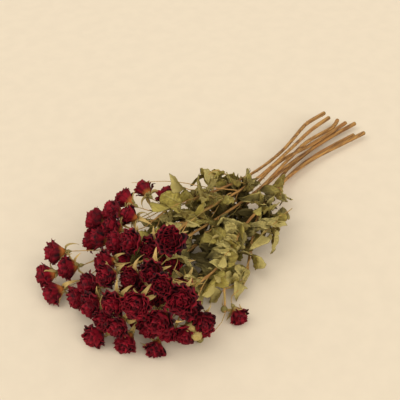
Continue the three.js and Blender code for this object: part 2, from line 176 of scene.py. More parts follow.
class Plan:
    """A Geometry Nodes tree with named inputs, which ends in Realize Instances and Set Material."""

    def __init__(self, name, inputs):
        self.tree = bpy.data.node_groups.new(name, "GeometryNodeTree")
        sockets = self.tree.interface
        sockets.new_socket(name="Geometry", in_out="OUTPUT", socket_type=SOCKET_KINDS["geometry"])
        sockets.new_socket(name="Geometry", in_out="INPUT", socket_type=SOCKET_KINDS["geometry"])
        for label, kind in inputs.items():
            sockets.new_socket(name=label, in_out="INPUT", socket_type=SOCKET_KINDS[kind])
        self.source = self.tree.nodes.new("NodeGroupInput")

    def add(self, kind, settings=None, **inputs):
        return add_node(self.tree, kind, settings, **inputs)

    def given(self, label):
        return Field(self.tree, self.source.outputs[label])

    def number(self, node, output=0):
        return Field(self.tree, node.outputs[output])

    def attribute(self, name):
        node = self.add("GeometryNodeInputNamedAttribute", {"data_type": "FLOAT"}, Name=name)
        return Field(self.tree, node.outputs["Attribute"])

    def store(self, geometry, name, value, domain="POINT"):
        settings = {"data_type": "FLOAT", "domain": domain}
        inputs = {"Geometry": geometry, "Name": name, "Value": value}
        return self.add("GeometryNodeStoreNamedAttribute", settings, **inputs).outputs["Geometry"]

    def chance(self, identity, seed, low=0.0, high=1.0):
        """A random number for each identity, the same in every run."""
        node = self.add("FunctionNodeRandomValue", {"data_type": "FLOAT"}, ID=identity, Seed=seed)
        bounds = [s for s in node.inputs if s.name in ("Min", "Max") and s.enabled]
        for socket, value in zip(bounds, (low, high)):
            connect(self.tree, value, socket)
        return Field(self.tree, next(s for s in node.outputs if s.enabled))

    def vector(self, x, y, z):
        return self.add("ShaderNodeCombineXYZ", X=x, Y=y, Z=z).outputs[0]

    def place(self, geometry, position):
        return self.add("GeometryNodeSetPosition", Geometry=geometry, Position=position).outputs[0]

    def shift(self, geometry, offset):
        return self.add("GeometryNodeSetPosition", Geometry=geometry, Offset=offset).outputs[0]

    def spot(self):
        """The place of each point, as a vector."""
        return self.add("GeometryNodeInputPosition").outputs[0]

    def coordinates(self):
        """The place of each point, as three numbers."""
        parts = self.add("ShaderNodeSeparateXYZ", Vector=self.spot())
        return [self.number(parts, axis) for axis in "XYZ"]

    def normal(self):
        return self.add("GeometryNodeInputNormal").outputs[0]

    def index(self):
        return Field(self.tree, self.add("GeometryNodeInputIndex").outputs[0])

    def noise(self, scale, seed, detail=2.0):
        """Noise at each point, as a vector whose parts run from about -0.5 to 0.5."""
        settings = {"noise_dimensions": "4D"}
        node = self.add("ShaderNodeTexNoise", settings, Scale=scale, Detail=detail, W=seed)
        connect(self.tree, self.spot(), node.inputs["Vector"])
        centred = self.add("ShaderNodeVectorMath", {"operation": "SUBTRACT"})
        self.tree.links.new(node.outputs["Color"], centred.inputs[0])
        centred.inputs[1].default_value = (0.5, 0.5, 0.5)
        return centred.outputs[0]

    def scaled(self, vector, factor):
        node = self.add("ShaderNodeVectorMath", {"operation": "SCALE"})
        self.tree.links.new(vector, node.inputs[0])
        connect(self.tree, factor, node.inputs["Scale"])
        return node.outputs[0]

    def sheets(self, count, across, along):
        """Flat grids with their order, u from -1 to 1 across and v from 0 to 1 along stored on them."""
        counts = {"Vertices_X": across, "Vertices_Y": along}
        grid = self.add("GeometryNodeMeshGrid", Size_X=2.0, Size_Y=1.0, **counts)
        x, y, _ = self.coordinates()
        flat = self.store(grid.outputs["Mesh"], "u", x)
        flat = self.store(flat, "v", y + 0.5)
        points = self.add("GeometryNodeMeshLine", Count=count)
        copies = self.add("GeometryNodeInstanceOnPoints", Points=points.outputs["Mesh"], Instance=flat)
        counted = self.store(copies.outputs["Instances"], "order", self.index(), "INSTANCE")
        return self.add("GeometryNodeRealizeInstances", Geometry=counted).outputs[0]

    def crumpled(self, sheets, scale, seed, depth, detail=2.0):
        """Sheets with their points moved by noise."""
        return self.shift(sheets, self.scaled(self.noise(scale, seed, detail), depth))

    def shell(self, sheet, thickness):
        """A closed thin shell over a sheet. The face attribute back is 1 on the side under the sheet."""
        raised = self.add("GeometryNodeExtrudeMesh", Mesh=sheet, Offset_Scale=thickness, Individual=False)
        front = self.store(raised.outputs["Mesh"], "back", 0.0, "FACE")
        turned = self.add("GeometryNodeFlipFaces", Mesh=sheet)
        back = self.store(turned.outputs[0], "back", 1.0, "FACE")
        both = self.join(front, back)
        return self.add("GeometryNodeMergeByDistance", Geometry=both, Distance=SAME_PLACE).outputs[0]

    def tube(self, curve, sides, radius):
        """A thin closed stalk along a curve."""
        profile = self.add("GeometryNodeCurvePrimitiveCircle", Resolution=sides, Radius=radius)
        curves = {"Curve": curve, "Profile_Curve": profile.outputs[0]}
        skin = self.add("GeometryNodeCurveToMesh", Fill_Caps=True, **curves)
        return self.store(skin.outputs[0], "girth", YOUNG_GIRTH)

    def join(self, *parts):
        node = self.add("GeometryNodeJoinGeometry")
        for part in reversed(parts):
            self.tree.links.new(part, node.inputs[0])
        return node.outputs[0]

    def coat(self, geometry, label):
        """Realizes a part's instances and gives it the material input of that name."""
        whole = self.add("GeometryNodeRealizeInstances", Geometry=geometry).outputs[0]
        node = self.add("GeometryNodeSetMaterial", Geometry=whole, Material=self.given(label))
        return node.outputs[0]

    def finish(self, geometry):
        end = self.tree.nodes.new("NodeGroupOutput")
        self.tree.links.new(geometry, end.inputs[0])
        return self.tree


def grown(name, tree, values, start=None):
    """The plain mesh that a tree makes from a starting mesh, with its inputs set by socket identifier."""
    carrier = bpy.data.objects.new(name, start or bpy.data.meshes.new(name))
    bpy.context.scene.collection.objects.link(carrier)
    modifier = carrier.modifiers.new("Grow", "NODES")
    modifier.node_group = tree
    for item in tree.interface.items_tree:
        if item.in_out == "INPUT" and item.name in values:
            modifier[item.identifier] = values[item.name]
    graph = bpy.context.evaluated_depsgraph_get()
    mesh = bpy.data.meshes.new_from_object(carrier.evaluated_get(graph), depsgraph=graph)
    bpy.data.objects.remove(carrier)
    mesh.name = name
    return mesh


FLATTENED_BELOW = 3 * MM  # what hangs lower than this is pressed flatter the lower it hangs


def rested(mesh):
    """Presses what would hang through the floor flat against it."""
    places = np.empty(len(mesh.vertices) * 3)
    mesh.vertices.foreach_get("co", places)
    heights = places[2::3]
    low = heights < FLATTENED_BELOW
    heights[low] = FLATTENED_BELOW * np.exp(heights[low] / FLATTENED_BELOW - 1)
    mesh.vertices.foreach_set("co", places)
    mesh.update()


def as_piece(name, mesh, replaced=None):
    """Makes a mesh a piece of the bunch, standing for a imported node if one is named."""
    rested(mesh)
    mesh.polygons.foreach_set("use_smooth", [True] * len(mesh.polygons))
    piece = bpy.data.objects.new(name, mesh)
    bpy.context.scene.collection.objects.link(piece)
    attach(piece, ROOT)
    if replaced:
        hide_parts(replaced)


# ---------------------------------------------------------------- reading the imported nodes


def corners(node):
    """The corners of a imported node, once each."""
    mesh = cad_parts[node].data
    places = np.empty(len(mesh.vertices) * 3)
    mesh.vertices.foreach_get("co", places)
    return np.unique(places.reshape(-1, 3).round(6), axis=0)


class BloomSpace:
    """Where a packed bloom is: its foot on the stalk, the way it faces, and its radius."""

    def __init__(self, node):
        points = corners(node)
        middle = points.mean(axis=0)
        foot = points[np.argmax(np.linalg.norm(points - middle, axis=1))]
        axis = (middle - foot) / np.linalg.norm(middle - foot)
        along = (points - foot) @ axis
        aside = np.linalg.norm(points - foot - np.outer(along, axis), axis=1)
        self.foot = Vector(foot)
        self.axis = Vector(axis)
        self.radius = float(aside.max())
        self.length = float(along.max())

    def ball(self):
        """The middle and the radius of the ball that its petals fill."""
        return self.foot + self.axis * (self.length - self.radius), self.radius


class LeafSpace:
    """Where a packed leaf is: its foot on the stem, the way its stalk runs, and its upper side."""

    def __init__(self, node, stem_tree):
        points = corners(node)
        middle = points.mean(axis=0)
        far = points[np.argmax(np.linalg.norm(points - middle, axis=1))]
        other = points[np.argmax(np.linalg.norm(points - far, axis=1))]
        ends = sorted((far, other), key=lambda p: stem_tree.find_nearest(Vector(p))[3])
        self.foot, tip = (Vector(p) for p in ends)
        self.length = (tip - self.foot).length
        self.heading = (tip - self.foot).normalized()
        sag = Vector(middle) - self.foot
        self.up = -(sag - self.heading * sag.dot(self.heading)).normalized()

    def matrix(self):
        side = self.up.cross(self.heading)
        turn = Matrix((self.heading, side, self.up)).transposed().to_4x4()
        return Matrix.Translation(self.foot) @ turn


def tree_of(nodes):
    """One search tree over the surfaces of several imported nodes."""
    places, faces = [], []
    for node in nodes:
        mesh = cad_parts[node].data
        start = len(places)
        places.extend(vertex.co[:] for vertex in mesh.vertices)
        faces.extend([start + i for i in polygon.vertices] for polygon in mesh.polygons)
    return BVHTree.FromPolygons(places, faces)


# ---------------------------------------------------------------- finishes


class Finish:
    """A node material with one principled shader."""

    def __init__(self, name, **constants):
        self.material = bpy.data.materials.new(name)
        self.material.use_nodes = True
        self.tree = self.material.node_tree
        self.shader = self.tree.nodes["Principled BSDF"]
        for key, value in constants.items():
            self.shader.inputs[key.replace("_", " ")].default_value = value

    def add(self, kind, settings=None, **inputs):
        return add_node(self.tree, kind, settings, **inputs)

    def attribute(self, name):
        node = self.tree.nodes.new("ShaderNodeAttribute")
        node.attribute_name = name
        return Field(self.tree, node.outputs["Fac"])

    def place(self, stretch=(1, 1, 1)):
        """Object coordinates, stretched along the axes."""
        coordinates = self.tree.nodes.new("ShaderNodeTexCoord")
        mapping = self.tree.nodes.new("ShaderNodeMapping")
        mapping.inputs["Scale"].default_value = stretch
        self.tree.links.new(coordinates.outputs["Object"], mapping.inputs["Vector"])
        return mapping.outputs[0]

    def noise(self, scale, detail, stretch=(1, 1, 1)):
        """Noise in object coordinates, from 0 to 1."""
        place = self.place(stretch)
        node = self.add("ShaderNodeTexNoise", Vector=place, Scale=scale, Detail=detail)
        return Field(self.tree, node.outputs["Fac"])

    def mix(self, share, first, second):
        node = self.tree.nodes.new("ShaderNodeMix")
        node.data_type = "RGBA"
        sockets = [socket for socket in node.inputs if socket.enabled]
        for value, socket in zip((share, first, second), sockets):
            connect(self.tree, value, socket)
        return next(socket for socket in node.outputs if socket.enabled)

    def bump(self, height, distance, strength):
        node = self.add("ShaderNodeBump", Height=height, Distance=distance, Strength=strength)
        self.tree.links.new(node.outputs[0], self.shader.inputs["Normal"])

    def colour(self, socket):
        self.tree.links.new(socket, self.shader.inputs["Base Color"])

    def roughness(self, field):
        connect(self.tree, field, self.shader.inputs["Roughness"])


def petal_finish(colours):
    """Dried petals: crimson on the backs, with dark veins and a pale foot, and painted shade that makes them
    near black in the fold valleys and deep inside the bloom.
    """
    sheen = {"Sheen_Weight": 0.06, "Sheen_Roughness": 0.4, "Sheen_Tint": colours.petal_sheen}
    finish = Finish("dried_petal", Specular_IOR_Level=0.25, **sheen)
    back, v, tone, fold = (finish.attribute(name) for name in ("back", "v", "tone", "fold"))
    # Painted shade: the face under each petal's sheet darkens towards the petal's foot, deep in the bloom.
    inside = back * v.step(0.98, 0.55)
    # Painted shade and highlight: stripes along the petal's waves, lighter on one face where the other face
    # is darker, for light on the crests and shade in the valleys.
    painted_fold_shading = fold * (1.0 - back * 2.0) * 0.22
    veins = finish.noise(900, 3.0, (1, 1, 0.25))
    patches = finish.noise(160, 3.0)
    # Random tone and patches, darkened by the painted shade, choose between the dark and the bright petal
    # colour.
    tone_and_painted_shade = (tone * 0.5 + patches * 1.6 - 0.56 - inside * 0.9 + painted_fold_shading).share()
    shade = finish.mix(tone_and_painted_shade, colours.petal_dark, colours.petal_bright)
    streaked = finish.mix(veins.step(0.56, 0.74) * 0.5, shade, colours.petal_dark)
    claw = finish.mix(v.step(0.42, 0.12) * 0.85, streaked, colours.petal_claw)
    finish.colour(claw)
    finish.roughness(patches * 0.25 + 0.6)
    finish.bump(veins * 0.6 + patches * 0.6, 0.6 * MM, 0.7)
    return finish.material


def sepal_finish(colours):
    """Dried sepals and hips: olive at the hip, straw at the tips, with fine ribs along them."""
    finish = Finish("dried_sepal", Roughness=0.75)
    v, tone = finish.attribute("v"), finish.attribute("tone")
    fibres = finish.noise(1400, 2.0, (1, 1, 0.3))
    spots = finish.noise(300, 3.0)
    share = (v * 0.55 + tone * 0.6 + spots * 0.5 - 0.35).share()
    base = finish.mix(share, colours.sepal_green, colours.sepal_straw)
    worn = finish.mix(fibres.step(0.55, 0.8) * 0.45, base, colours.sepal_worn)
    finish.colour(worn)
    finish.bump(fibres, 0.3 * MM, 0.6)
    return finish.material


def leaf_finish(colours):
    """Dried leaflets: dull olive above and grey green below, with a midrib and slanting side veins, and
    painted shade that darkens the leaves deep inside the bunch.
    """
    finish = Finish("dried_leaf", Specular_IOR_Level=0.2)
    u, v, back, tone = (finish.attribute(name) for name in ("u", "v", "back", "tone"))
    half = u.size()
    slant = ((v - half * 0.16) * 34.0 + finish.noise(220, 2.0) * 1.6).sin().size()
    side_vein = slant.step(0.30, 0.0)
    midrib = half.step(0.10, 0.02)
    vein = side_vein.at_most(half.step(1.0, 0.8)).at_least(midrib)
    mottle = finish.noise(140, 4.0)
    fine = finish.noise(1200, 3.0)
    green = finish.mix(tone, colours.leaf_dull, colours.leaf_fresh)
    dry = finish.mix(mottle.step(0.52, 0.72) * 0.55, green, colours.leaf_brown)
    below = finish.mix(back * 0.75, dry, colours.leaf_under)
    ribbed = finish.mix(vein * 0.38, below, colours.leaf_vein)
    specks = finish.mix(fine.step(0.6, 0.75) * 0.25, ribbed, colours.leaf_brown)
    edge = finish.mix(half.step(0.9, 1.0) * 0.35, specks, colours.leaf_brown)
    # Painted shade: leaves near the middle of the bunch, short of its waist, darken towards the inside leaf
    # colour.
    outside = distance_out(finish) + (mottle - 0.5) * 20 * MM
    painted_shade_mask = outside.step(36 * MM, 20 * MM) * 0.8
    finish.colour(finish.mix(painted_shade_mask, edge, colours.leaf_painted_shade))
    finish.roughness(mottle * 0.25 + 0.58)
    finish.bump(vein * 0.8 + fine * 0.5 + mottle * 0.9, 1.0 * MM, 1.0)
    return finish.material


def distance_out(finish):
    """How far a place lies from the middle of the leaves, which is wider than it is high; leaves nearer the
    middle get more painted shade.
    """
    parts = finish.add("ShaderNodeSeparateXYZ", Vector=finish.place())
    along, aside, high = (Field(finish.tree, parts.outputs[axis]) for axis in "XYZ")
    past_waist = (along * -1.0 - 20 * MM).at_least(0.0)
    return ((aside * 0.55) ** 2.0 + (high - 26 * MM) ** 2.0).math("SQRT") + past_waist


def bark_finish(colours):
    """Rose bark: brown and grained where it is thick, tan and olive on young stalks and closed hips."""
    finish = Finish("rose_bark", Roughness=0.8)
    girth = finish.attribute("girth")
    grain = finish.noise(420, 4.0, (0.07, 1, 1))
    patches = finish.noise(70, 4.0, (0.35, 1, 1))
    fine = finish.noise(1500, 3.0, (0.3, 1, 1))
    wood = finish.mix(grain.step(0.30, 0.66), colours.bark_dark, colours.bark_light)
    rusty = finish.mix(patches.step(0.45, 0.75) * 0.6, wood, colours.bark_rust)
    green = finish.mix(patches.step(0.40, 0.65), colours.stalk_tan, colours.stalk_olive)
    young = finish.mix(fine.step(0.5, 0.8) * 0.4, green, colours.bark_dark)
    by_girth = finish.mix(girth.step(1.7 * MM, 3.0 * MM), young, rusty)
    hip = finish.mix(patches.step(0.45, 0.65), colours.hip_olive, colours.hip_tan)
    finish.colour(finish.mix(girth.step(5.6 * MM, 6.4 * MM), by_girth, hip))
    finish.bump(grain * 0.8 + fine * 0.4, 0.6 * MM, 0.8)
    return finish.material


# ---------------------------------------------------------------- settings


def length_setting(label, about, millimetres):
    return bpy.props.FloatProperty(
        name=label, description=about, default=millimetres * MM, min=0.0, unit="LENGTH", precision=4
    )


def share_setting(label, about, value):
    return bpy.props.FloatProperty(name=label, description=about, default=value, subtype="FACTOR", min=0.0)


def count_setting(label, about, value):
    return bpy.props.IntProperty(name=label, description=about, default=value, min=1)


def colour_setting(label, about, *card):
    return bpy.props.FloatVectorProperty(
        name=label, description=about, default=srgb(*card), size=4, subtype="COLOR", min=0.0, max=1.0
    )


class BloomSettings(bpy.types.PropertyGroup):
    """Sizes of the blooms' petals and sepals."""

    petals: count_setting("Petals", "Petals in a bloom of full size", 32)
    fullness: length_setting("Fullness", "How far the petals of a full bloom reach past the packed one", 2.3)
    full_radius: length_setting("Full radius", "Radius of a bloom that has all its petals", 13.0)
    petal_thickness: length_setting("Petal thickness", "Thickness of a dried petal", 0.22)
    openness: share_setting("Openness", "How far the outer petals lean out", 0.22)
    crumple: length_setting("Crumple", "How far the dried petals are crumpled", 1.45)
    sepal_length: length_setting("Sepal length", "Length of a sepal", 16.5)
    hip_length: length_setting("Hip length", "Length of the swelling under the petals", 6.0)


class LeafSettings(bpy.types.PropertyGroup):
    """Sizes of the compound leaves."""

    leaflet_length: length_setting("Leaflet length", "Length of an end leaflet", 28.0)
    leaflet_width: length_setting("Leaflet width", "Width of an end leaflet, if it were flat", 23.0)
    leaflet_thickness: length_setting("Leaflet thickness", "Thickness of a dried leaflet", 0.3)
    stalk_radius: length_setting("Leaf stalk radius", "Radius of the stalk that carries the leaflets", 0.55)
    crumple: length_setting("Crumple", "How far the dried leaflets are crumpled", 6.5)
    extra: count_setting("Small leaves", "Leaves that fill the bunch between the larger ones", 52)


class StemSettings(bpy.types.PropertyGroup):
    """Sizes of the bark and of the prickles."""

    grain: length_setting("Grain", "Depth of the lengthwise grain in the bark", 0.28)
    skin: length_setting("Skin step", "Distance between the points of the bark's surface", 0.55)
    bark: length_setting("Bark", "Thickness of the bark over the packed stem, where it is thickest", 0.55)
    prickle_length: length_setting("Prickle length", "Length of a prickle", 2.6)
    prickles: bpy.props.FloatProperty(
        name="Prickles", description="Prickles on each square centimetre of bark", default=0.28, min=0.0
    )


class ColourSettings(bpy.types.PropertyGroup):
    """Colours of the dried plant."""

    petal_bright: colour_setting("Petal", "Backs of the petals", 144, 4, 28)
    # Painted shade: the petals darken towards this colour inside the bloom and in their fold valleys; it is
    # also the colour of their dark veins and darker patches.
    petal_dark: colour_setting("Petal folds", "Insides and folds of the petals", 28, 1, 5)
    petal_claw: colour_setting("Petal foot", "The pale foot of each petal", 196, 120, 52)
    petal_sheen: colour_setting("Petal sheen", "The velvety sheen of the petals", 190, 60, 80)
    sepal_green: colour_setting("Hip", "Hips and the feet of the sepals", 140, 126, 66)
    sepal_straw: colour_setting("Sepal", "Tips of the sepals", 206, 170, 100)
    sepal_worn: colour_setting("Sepal, worn", "Brown fibres of the sepals", 96, 62, 26)
    leaf_dull: colour_setting("Leaf, dull", "Upper side of an old leaf", 84, 64, 18)
    leaf_fresh: colour_setting("Leaf, fresh", "Upper side of a young leaf", 186, 168, 82)
    leaf_under: colour_setting("Leaf underside", "Lower side of the leaves", 204, 186, 114)
    leaf_vein: colour_setting("Leaf veins", "Midribs and side veins", 188, 176, 110)
    leaf_brown: colour_setting("Leaf brown", "Brittle brown patches and rims", 84, 54, 16)
    # Painted shade: the colour towards which leaves deep inside the bunch darken.
    leaf_painted_shade: colour_setting("Leaf, inside", "Leaves deep inside the bunch", 52, 38, 12)
    bark_light: colour_setting("Bark", "Lit bark", 180, 132, 66)
    bark_dark: colour_setting("Bark grain", "Grain and cracks of the bark", 106, 68, 28)
    bark_rust: colour_setting("Bark rust", "Rusty patches of bark", 170, 112, 54)
    stalk_tan: colour_setting("Stalk, tan", "Young stalks", 190, 142, 74)
    stalk_olive: colour_setting("Stalk, olive", "Young stalks that kept some green", 158, 136, 66)
    hip_olive: colour_setting("Closed hip", "Closed hips", 116, 104, 46)
    hip_tan: colour_setting("Closed hip, tan", "Dry patches on closed hips", 168, 138, 70)


class StageSettings(bpy.types.PropertyGroup):
    """The floor, the lights and the camera."""

    floor: colour_setting("Floor", "Colour of the floor", 224, 208, 182)
    floor_size: length_setting("Floor size", "Side of the square floor", 60000.0)
    azimuth: bpy.props.FloatProperty(
        name="Azimuth", description="The way the camera looks", default=math.radians(132), subtype="ANGLE"
    )
    elevation: bpy.props.FloatProperty(
        name="Elevation",
        description="How far the camera looks down",
        default=math.radians(38),
        subtype="ANGLE",
    )
    distance: length_setting("Distance", "Camera to the point it looks at", 1100.0)
    lens: bpy.props.FloatProperty(name="Lens", description="Focal length", default=75.0, unit="CAMERA")


SETTINGS = {
    "rose_blooms": BloomSettings,
    "rose_leaves": LeafSettings,
    "rose_stems": StemSettings,
    "rose_colours": ColourSettings,
    "rose_stage": StageSettings,
}

# ---------------------------------------------------------------- blooms

GOLDEN_ANGLE = math.pi * (3 - math.sqrt(5))  # the turn from one petal to the next
PETAL_GRID = (13, 9)  # points across and along a petal
FEWEST_PETALS = 14
SEPALS = 5
SEPAL_GRID = (4, 8)
SEPAL_THICKNESS = 0.35 * MM
TURN_PER_SEED = 1.3  # so that no two blooms stand the same way round
BLOOM_ROOM = 0.86  # how near two blooms may come, as a share of their two radii
CLEARING_STEPS = 40
STALK_RADIUS = 0.8 * MM
STALK_STEPS = 14
STALK_EASE = 0.4  # how long a stalk keeps its way at each end, as a share of its whole reach


def bloom_plan():
    """Petals rolled tight at the heart and looser outwards, over a hip with five sepals."""
    plan = Plan(
        "Dried bloom",
        {
            "Radius": float,
            "Petals": int,
            "Petal thickness": float,
            "Openness": float,
            "Crumple": float,
            "Sepal length": float,
            "Hip length": float,
            "Seed": int,
            "Petal": "material",
            "Sepal": "material",
        },
    )
    radius, hip, seed = plan.given("Radius"), plan.given("Hip length"), plan.given("Seed")
    petals = plan.coat(petal_shells(plan, radius, hip, seed), "Petal")
    sepals = sepal_shells(plan, radius, hip, seed + 100)
    calyx = plan.coat(plan.join(sepals, hip_body(plan, hip)), "Sepal")
    return plan.finish(plan.join(petals, calyx))


def petal_shells(plan, radius, hip, seed):
    """Petals on a spiral: order counts them, and t runs from 0 at the heart to 1 at the outermost."""
    sheets = plan.sheets(plan.given("Petals"), *PETAL_GRID)
    order, u, v = (plan.attribute(name) for name in ("order", "u", "v"))
    t = (order + 0.5) / plan.given("Petals")
    luck = [plan.chance(order, seed + 7 * i) for i in range(5)]

    # Each petal wraps part of its own ring, less at its foot than at its middle.
    ring = radius * (t**0.8 * 0.80 + 0.07)
    half_angle = ((t * 0.30 + 0.50) * radius / ring).at_most(2.5)
    outline = (v * 0.62 * math.pi + 0.10 * math.pi).sin() ** 0.7
    turn = order * GOLDEN_ANGLE + luck[0] * 0.7 + half_angle * u * outline

    # It swells out from its foot, leans, and waves towards its rim.
    belly = (v * 1.3).at_most(1.0) * (math.pi / 2)
    foot = radius * 0.14
    lean = plan.given("Openness") * (t - 0.45) * radius
    fold = (u * 8.0 + luck[1] * 30.0).sin()
    waves = fold * v**1.5 * radius * (t * 0.07 + 0.05)
    out = foot + (ring - foot) * belly.sin() + lean * v**3.0 + waves + u * radius * 0.04

    # It rises to a frilled rim, which rolls over as a lip on the outer petals.
    top = radius * (luck[2] * 0.34 + 1.42 + (t * math.pi).sin() * 0.20 - t * 0.30)
    corner = 1.0 - u**4.0 * v * 0.20
    lip = radius * t * t * 0.34 * (luck[3] * 0.9 + 0.3)
    frill = (u * 9.0 + luck[4] * 30.0).sin() * v**3.0 * radius * 0.035
    high = hip + top * v**0.85 * corner - lip * v**6.0 + frill
    rolled = out + lip * v**5.0 * 0.6
    sheets = plan.place(sheets, plan.vector(rolled * turn.cos(), rolled * turn.sin(), high))

    # Drying crumpled it, first in wide folds and then in fine creases.
    crumple = plan.given("Crumple")
    sheets = plan.crumpled(sheets, 230.0, seed * 0.37 + order * 0.13, crumple * (v * 1.9 + 0.4), 2.5)
    sheets = plan.crumpled(sheets, 640.0, seed * 0.11 + order * 0.21, crumple * (v * 0.25 + 0.2), 1.5)
    sheets = plan.store(sheets, "tone", luck[2])
    # The waves are stored as fold, for the painted shade and highlight of the petal finish.
    sheets = plan.store(sheets, "fold", fold)
    return plan.shell(sheets, plan.given("Petal thickness"))


def sepal_shells(plan, radius, hip, seed):
    """Five narrow sepals that bend back from the top of the hip, each with its own curl."""
    sheets = plan.sheets(SEPALS, *SEPAL_GRID)
    order, u, v = (plan.attribute(name) for name in ("order", "u", "v"))
    luck = [plan.chance(order, seed + 7 * i) for i in range(5)]
    length = plan.given("Sepal length") * (luck[0] * 0.6 + 0.7)
    half_width = length * 0.13 * (1.0 - v**1.6) * (v * 2.0 + 0.7).at_most(1.3)
    turn = order * (2 * math.pi / SEPALS) + luck[1] * 0.6
    curl = luck[2] * 4.2 - 0.8
    pitch = luck[3] * 1.3 + 0.1
    bend = pitch - curl * v * 0.6
    run = bend.cos() * v * length
    rise = bend.sin() * v * length
    sway = (luck[4] - 0.5) * v**2.0 * length * 0.7
    out = radius * 0.20 + run
    aside = u * half_width + sway
    cup = u * u * half_width * 0.8
    x = out * turn.cos() - aside * turn.sin()
    y = out * turn.sin() + aside * turn.cos()
    high = hip * 0.86 + rise + cup
    sheets = plan.place(sheets, plan.vector(x, y, high))
    sheets = plan.crumpled(sheets, 260.0, seed * 0.29 + order, v * 2.2 * MM)
    sheets = plan.store(sheets, "tone", luck[0])
    return plan.shell(sheets, SEPAL_THICKNESS)


def hip_body(plan, hip):
    """The swelling under the petals, sunk a little into the end of its stalk."""
    body = plan.add("GeometryNodeMeshCylinder", Vertices=12, Side_Segments=7, Radius=1.0, Depth=1.0)
    x, y, z = plan.coordinates()
    share = z + 0.5
    swelling = share.step(0.0, 0.5) * 1.7 * MM
    neck = share.step(0.55, 0.85) * 0.6 * MM
    rim = share.step(0.85, 1.0) * 1.2 * MM
    wide = swelling - neck + rim + STALK_RADIUS
    high = share * (hip * 1.12 + STALK_RADIUS) - STALK_RADIUS
    mesh = plan.place(body.outputs["Mesh"], plan.vector(x * wide, y * wide, high))
    mesh = plan.store(mesh, "v", share * 0.3)
    return plan.store(mesh, "tone", 0.2)


class BloomMaker:
    """Grows blooms on the same plan, each from its own seed."""

    def __init__(self, scene):
        self.sizes = scene.rose_blooms
        self.tree = bloom_plan()
        self.petal = petal_finish(scene.rose_colours)
        self.sepal = sepal_finish(scene.rose_colours)

    def bloom(self, name, seed, radius, place):
        sizes = self.sizes
        values = {
            "Radius": radius + sizes.fullness * sizes.full_radius / radius,
            "Petals": max(FEWEST_PETALS, round(sizes.petals * radius / sizes.full_radius)),
            "Petal thickness": sizes.petal_thickness,
            "Openness": sizes.openness,
            "Crumple": sizes.crumple,
            "Sepal length": sizes.sepal_length,
            "Hip length": sizes.hip_length,
            "Seed": seed,
            "Petal": self.petal,
            "Sepal": self.sepal,
        }
        mesh = grown(name, self.tree, values)
        mesh.transform(place @ Matrix.Rotation(seed * TURN_PER_SEED, 4, "Z"))
        return mesh


class ROSES_OT_blooms(bpy.types.Operator):
    """Grow each bloom on its stalk, petals over sepals"""

    bl_idname = "roses.grow_blooms"
    bl_label = "Grow the blooms"

    def execute(self, context):
        maker = BloomMaker(context.scene)
        for seed, node in enumerate(BLOOMS, 1):
            space = BloomSpace(node)
            mesh = maker.bloom(f"rose_{node}", seed, space.radius, facing(space.foot, space.axis))
            as_piece(mesh.name, mesh, node)
        return {"FINISHED"}


# Small blooms between the larger ones, each (x, y, z, diameter) in millimetres.
SMALL_BLOOMS = (
    (184, -24, 40, 20),
    (199, 27, 38, 22),
    (170, 52, 44, 18),
    (224, 36, 22, 20),
    (236, -8, 14, 18),
    (218, -46, 12, 18),
    (152, 18, 44, 18),
    (178, -84, 34, 20),
    (180, 8, 40, 20),
    (206, 6, 26, 22),
    (232, 60, 32, 18),
    (160, -52, 34, 18),
    (212, 46, 56, 18),
)
SMALL_BLOOM_SEED = 60
BLOOM_HEART = Vector((100, -3, 30)) * MM  # the point that all blooms face away from
STALK_LEAD = 50 * MM  # how far behind its foot a bloom's stalk looks for a stem to leave

# Papery hips that lost their petals, each (x, y, z) in millimetres.
BARE_HIPS = ((205, 94, 32), (205, 102, 27))
BARE_HIP_SIZE = 11.5 * MM
BARE_HIP_RIBS = 7


class ROSES_OT_small_blooms(bpy.types.Operator):
    """Grow the small blooms that fill the head of the bunch, with their stalks"""

    bl_idname = "roses.grow_small_blooms"
    bl_label = "Grow the small blooms"

    def execute(self, context):
        maker = BloomMaker(context.scene)
        stalk = stalk_plan()
        bark = bark_finish(context.scene.rose_colours)
        stems = tree_of(STEMS)
        taken = [BloomSpace(node).ball() for node in BLOOMS]
        for number, (x, y, z, diameter) in enumerate(SMALL_BLOOMS, 1):
            radius = diameter / 2 * MM
            centre = cleared(Vector((x, y, z)) * MM, radius, taken)
            taken.append((centre, radius))
            axis = (centre - BLOOM_HEART).normalized()
            foot = centre - axis * (maker.sizes.hip_length + radius)
            name, seed = f"rose_small_bloom_{number:02d}", SMALL_BLOOM_SEED + number
            mesh = maker.bloom(name, seed, radius, facing(foot, axis))
            joint = stems.find_nearest(foot - axis * STALK_LEAD)[0]
            tube = stalk_mesh(f"stalk_{number:02d}", stalk, bark, joint, foot, axis)
            as_piece(mesh.name, joined(mesh.name, [mesh, tube]))
        return {"FINISHED"}


class ROSES_OT_bare_hips(bpy.types.Operator):
    """Grow the papery hips that lost their petals, with their stalks"""

    bl_idname = "roses.grow_bare_hips"
    bl_label = "Grow the bare hips"

    def execute(self, context):
        maker = BloomMaker(context.scene)
        hips = bare_hip_plan()
        stalk = stalk_plan()
        bark = bark_finish(context.scene.rose_colours)
        stems = tree_of(STEMS)
        for number, spot in enumerate(BARE_HIPS, 1):
            centre = Vector(spot) * MM
            axis = (centre - BLOOM_HEART).normalized()
            foot = centre - axis * BARE_HIP_SIZE / 2
            values = {"Size": BARE_HIP_SIZE, "Seed": number, "Sepal": maker.sepal}
            mesh = grown(f"rose_bare_hip_{number}", hips, values)
            mesh.transform(facing(foot, axis))
            joint = stems.find_nearest(foot - axis * STALK_LEAD)[0]
            tube = stalk_mesh(f"hip_stalk_{number}", stalk, bark, joint, foot, axis)
            as_piece(mesh.name, joined(mesh.name, [mesh, tube]))
        return {"FINISHED"}


